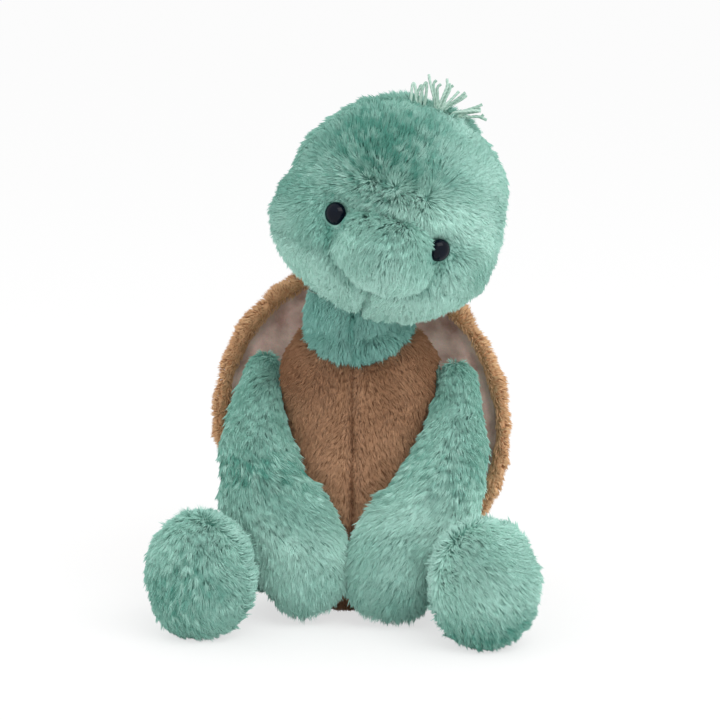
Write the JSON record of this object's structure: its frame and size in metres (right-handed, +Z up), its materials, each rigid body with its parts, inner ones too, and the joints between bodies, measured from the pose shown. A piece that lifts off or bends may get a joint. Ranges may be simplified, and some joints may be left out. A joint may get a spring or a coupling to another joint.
{
  "type": "plush turtle",
  "caption": "Sitting stuffed turtle with a padded shell, a big tilting head, safety eyes, a tuft of yarn hair, and soft arms and legs that move.",
  "frame": {"origin": "centre of the flattened seat, on the floor it sits on", "axes": "+Z up, the face and the feet towards -Y, +X to the right of somebody who looks at the face"},
  "size_m": [0.2058, 0.1996, 0.2951],
  "materials": {
    "green_pile": "long pile, matt",
    "crown_pile": "long pile, matt",
    "bib_pile": "long pile, matt",
    "brown_pile": "long pile, matt",
    "tan_pile": "short dense pile, matt",
    "taupe_plush": "smooth short nap",
    "fibre_filling": "loose white fibre",
    "pellet_filling": "small pellets in a cloth bag",
    "yarn": "soft twisted yarn",
    "seam_thread": "sewing thread",
    "eye_plastic": "polished",
    "washer_plastic": "moulded"
  },
  "bodies": {
    "torso": {"bib_left_panel": "bib_pile", "bib_right_panel": "bib_pile", "belly_left_panel": "brown_pile", "belly_right_panel": "brown_pile", "back_left_panel": "green_pile", "back_right_panel": "green_pile", "torso_filling": "fibre_filling", "seat_pellet_bag": "pellet_filling", "shell_cover": "tan_pile", "shell_wadding": "fibre_filling", "shell_lining": "taupe_plush"},
    "neck": {"neck_left_panel": "bib_pile", "neck_right_panel": "bib_pile", "neck_filling": "fibre_filling"},
    "neck_thread": {"neck_seam_thread": "seam_thread"},
    "head": {"head_forehead_panel": "crown_pile", "head_muzzle_panel": "green_pile", "head_jaw_left_panel": "green_pile", "head_jaw_right_panel": "green_pile", "head_back_left_panel": "crown_pile", "head_back_right_panel": "crown_pile", "head_filling": "fibre_filling", "eye_left": "eye_plastic", "eye_washer_left": "washer_plastic", "eye_right": "eye_plastic", "eye_washer_right": "washer_plastic", "hair_tuft_left": "yarn", "hair_tuft_middle": "yarn", "hair_tuft_right": "yarn"},
    "arm_left_thread": {"arm_left_seam_thread": "seam_thread"},
    "arm_left": {"arm_left_front_panel": "green_pile", "arm_left_back_panel": "green_pile", "arm_left_filling": "fibre_filling"},
    "leg_left_thread": {"leg_left_seam_thread": "seam_thread"},
    "leg_left": {"leg_left_top_panel": "green_pile", "leg_left_under_panel": "green_pile", "leg_left_sole": "green_pile", "leg_left_filling": "fibre_filling"},
    "arm_right_thread": {"arm_right_seam_thread": "seam_thread"},
    "arm_right": {"arm_right_front_panel": "green_pile", "arm_right_back_panel": "green_pile", "arm_right_filling": "fibre_filling"},
    "leg_right_thread": {"leg_right_seam_thread": "seam_thread"},
    "leg_right": {"leg_right_top_panel": "green_pile", "leg_right_under_panel": "green_pile", "leg_right_sole": "green_pile", "leg_right_filling": "fibre_filling"}
  },
  "joints": [
    {"name": "neck_turn", "type": "hinge", "parent": "torso", "child": "neck", "pos_m": [0, -0.012, 0.168], "axis": [0, 0, 1], "range_deg": [-20, 20]},
    {"name": "neck_nod", "type": "hinge", "parent": "neck", "child": "neck_thread", "pos_m": [0, -0.012, 0.168], "axis": [0.9848, 0.1736, 0], "range_deg": [-12, 12]},
    {"name": "head_tilt", "type": "hinge", "parent": "neck_thread", "child": "head", "pos_m": [0, -0.012, 0.168], "axis": [-0.1736, 0.9848, 0], "range_deg": [-36, 8]},
    {"name": "arm_left_swing", "type": "hinge", "parent": "torso", "child": "arm_left_thread", "pos_m": [-0.0563, -0.009, 0.1285], "axis": [-1, 0, 0], "range_deg": [0, 45]},
    {"name": "arm_left_spread", "type": "hinge", "parent": "arm_left_thread", "child": "arm_left", "pos_m": [-0.0563, -0.009, 0.1285], "axis": [-0.9848, 0, -0.1736], "range_deg": [0, 18]},
    {"name": "leg_left_lift", "type": "hinge", "parent": "torso", "child": "leg_left_thread", "pos_m": [-0.051, -0.025, 0.024], "axis": [-0.604, 0.2198, -0.766], "range_deg": [0, 15]},
    {"name": "leg_left_spread", "type": "hinge", "parent": "leg_left_thread", "child": "leg_left", "pos_m": [-0.051, -0.025, 0.024], "axis": [0, 0, -1], "range_deg": [0, 20]},
    {"name": "arm_right_swing", "type": "hinge", "parent": "torso", "child": "arm_right_thread", "pos_m": [0.0563, -0.009, 0.1265], "axis": [-1, 0, 0], "range_deg": [0, 45]},
    {"name": "arm_right_spread", "type": "hinge", "parent": "arm_right_thread", "child": "arm_right", "pos_m": [0.0563, -0.009, 0.1265], "axis": [-0.9848, 0, 0.1736], "range_deg": [0, 18]},
    {"name": "leg_right_lift", "type": "hinge", "parent": "torso", "child": "leg_right_thread", "pos_m": [0.051, -0.025, 0.024], "axis": [-0.604, -0.2198, 0.766], "range_deg": [0, 15]},
    {"name": "leg_right_spread", "type": "hinge", "parent": "leg_right_thread", "child": "leg_right", "pos_m": [0.051, -0.025, 0.024], "axis": [0, 0, 1], "range_deg": [0, 20]}
  ]
}
